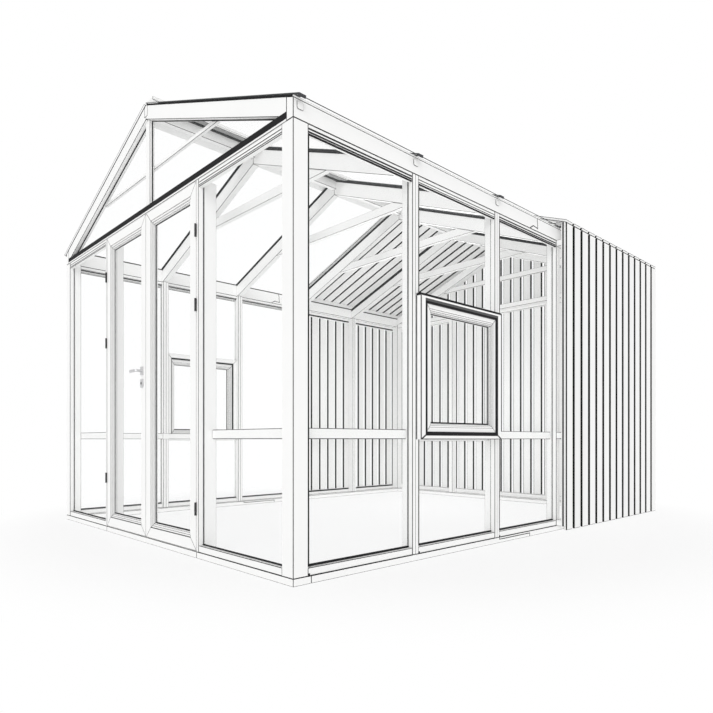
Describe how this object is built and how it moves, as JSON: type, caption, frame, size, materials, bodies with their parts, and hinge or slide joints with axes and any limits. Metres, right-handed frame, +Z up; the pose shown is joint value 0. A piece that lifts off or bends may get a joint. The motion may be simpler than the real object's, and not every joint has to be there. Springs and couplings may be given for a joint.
{
  "type": "glass greenhouse with a board-clad store",
  "caption": "Free-standing gabled glass greenhouse with a pair of glazed doors, side windows, trussed glass roof and a rear store clad in upright boards.",
  "frame": {"origin": "middle of the base on the ground, at the centre of the overall footprint", "axes": "+Z up, -Y out of the front gable with the doors, +X to the right seen from the front"},
  "size_m": [3.22, 4.145, 2.862],
  "materials": {
    "frame_white": "satin",
    "board_white": "matt",
    "glass": "clear",
    "seal_black": "matt",
    "bar_grey": "satin",
    "hinge_black": "satin",
    "handle_steel": "satin"
  },
  "bodies": {
    "building": {"front_sill": "frame_white", "back_sill": "frame_white", "side_sills": "frame_white", "corner_posts": "frame_white", "wall_posts": "frame_white", "door_posts": "frame_white", "back_posts": "frame_white", "front_header": "frame_white", "eaves_beams": "frame_white", "back_rails": "frame_white", "end_rafters": "frame_white", "king_post": "frame_white", "truss_rafters": "frame_white", "collar_ties": "frame_white", "ridge_beam": "frame_white", "mid_rails": "frame_white", "glazing_rails": "frame_white", "side_glass": "glass", "front_glass": "glass", "gable_glass": "glass", "seals": "seal_black", "roof_glass": "glass", "roof_bars": "bar_grey", "ridge_cap": "frame_white", "window_linings": "frame_white", "window_frames": "frame_white", "window_sashes": "frame_white", "window_glass": "glass", "edge_trims": "frame_white", "wall_battens": "board_white", "roof_battens": "board_white", "right_boards": "board_white", "left_boards": "board_white", "back_boards": "board_white", "right_roof_boards": "board_white", "left_roof_boards": "board_white", "frame_hinges": "hinge_black"},
    "left_door": {"left_door_frame": "frame_white", "left_door_glass": "glass", "left_door_hinges": "hinge_black", "handle_plates": "handle_steel"},
    "right_door": {"right_door_frame": "frame_white", "right_door_glass": "glass", "right_door_hinges": "hinge_black"},
    "lever": {"lever": "handle_steel"}
  },
  "joints": [
    {"name": "left_door_hinge", "type": "hinge", "parent": "building", "child": "left_door", "pos_m": [-0.6565, -2.025, 0], "axis": [0, 0, -1], "range_deg": [0, 110]},
    {"name": "right_door_hinge", "type": "hinge", "parent": "building", "child": "right_door", "pos_m": [0.6565, -2.025, 0], "axis": [0, 0, 1], "range_deg": [0, 110]},
    {"name": "lever_turn", "type": "hinge", "parent": "left_door", "child": "lever", "pos_m": [-0.0525, -2.0185, 1.1], "axis": [0, -1, 0], "range_deg": [0, 40], "stiffness_Nm_per_rad": 1.5, "springref_deg": -17.19}
  ]
}
